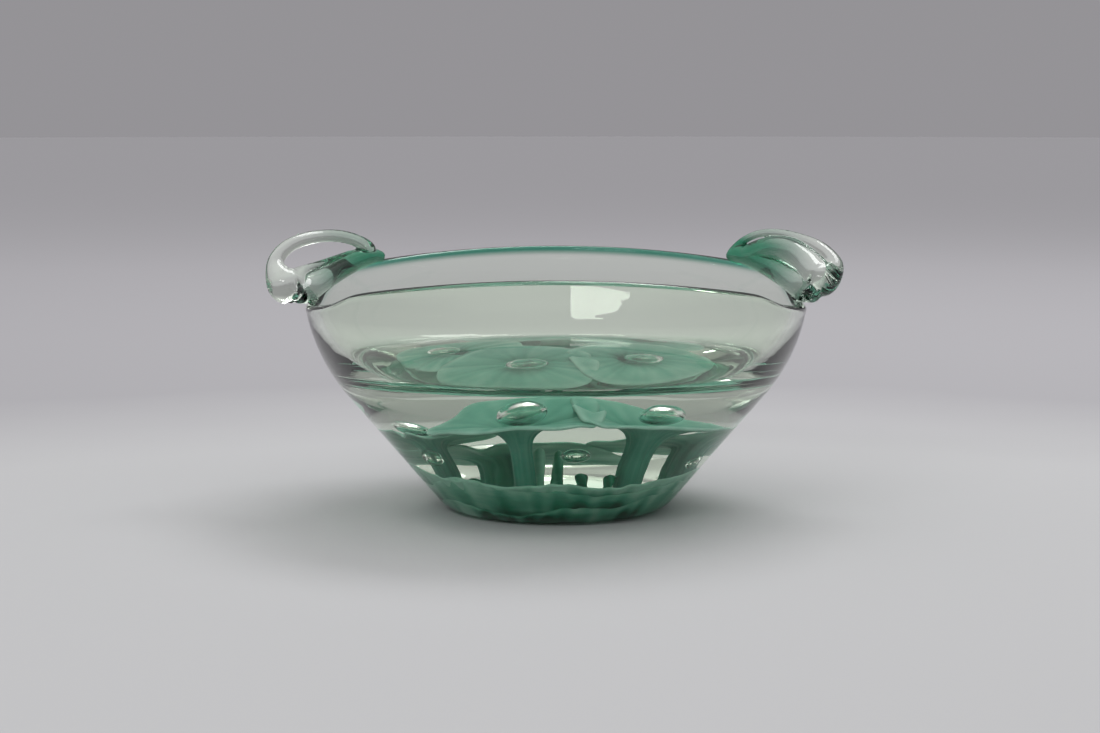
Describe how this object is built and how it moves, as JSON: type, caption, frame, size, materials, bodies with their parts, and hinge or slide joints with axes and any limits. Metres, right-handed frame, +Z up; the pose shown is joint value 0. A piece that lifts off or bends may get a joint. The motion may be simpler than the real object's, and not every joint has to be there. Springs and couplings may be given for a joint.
{
  "type": "art glass bowl",
  "caption": "Thick clear glass bowl on a solid base that encases teal trumpet flowers and air bubbles, with a curled loop handle on the rim at each side.",
  "frame": {"origin": "middle of the flat foot that the bowl stands on", "axes": "+Z up out of the bowl's mouth, -X and +X towards the handles, -Y towards the front"},
  "size_m": [0.1457, 0.1264, 0.0701],
  "materials": {
    "clear_glass": "fire-polished clear glass with a faint green tint",
    "handle_glass": "fire-polished clear glass with a faint green tint",
    "ground_glass": "opaque deep teal glass, folded and crumpled",
    "flower_glass": "opaque streaky teal glass with paler lips"
  },
  "bodies": {
    "root": {"bowl_body": "clear_glass", "base_weight": "clear_glass", "ground_cushion": "ground_glass", "flower_front": "flower_glass", "flower_right": "flower_glass", "flower_back_right": "flower_glass", "flower_back_left": "flower_glass", "flower_left": "flower_glass", "left_handle": "handle_glass", "right_handle": "handle_glass"}
  },
  "joints": []
}
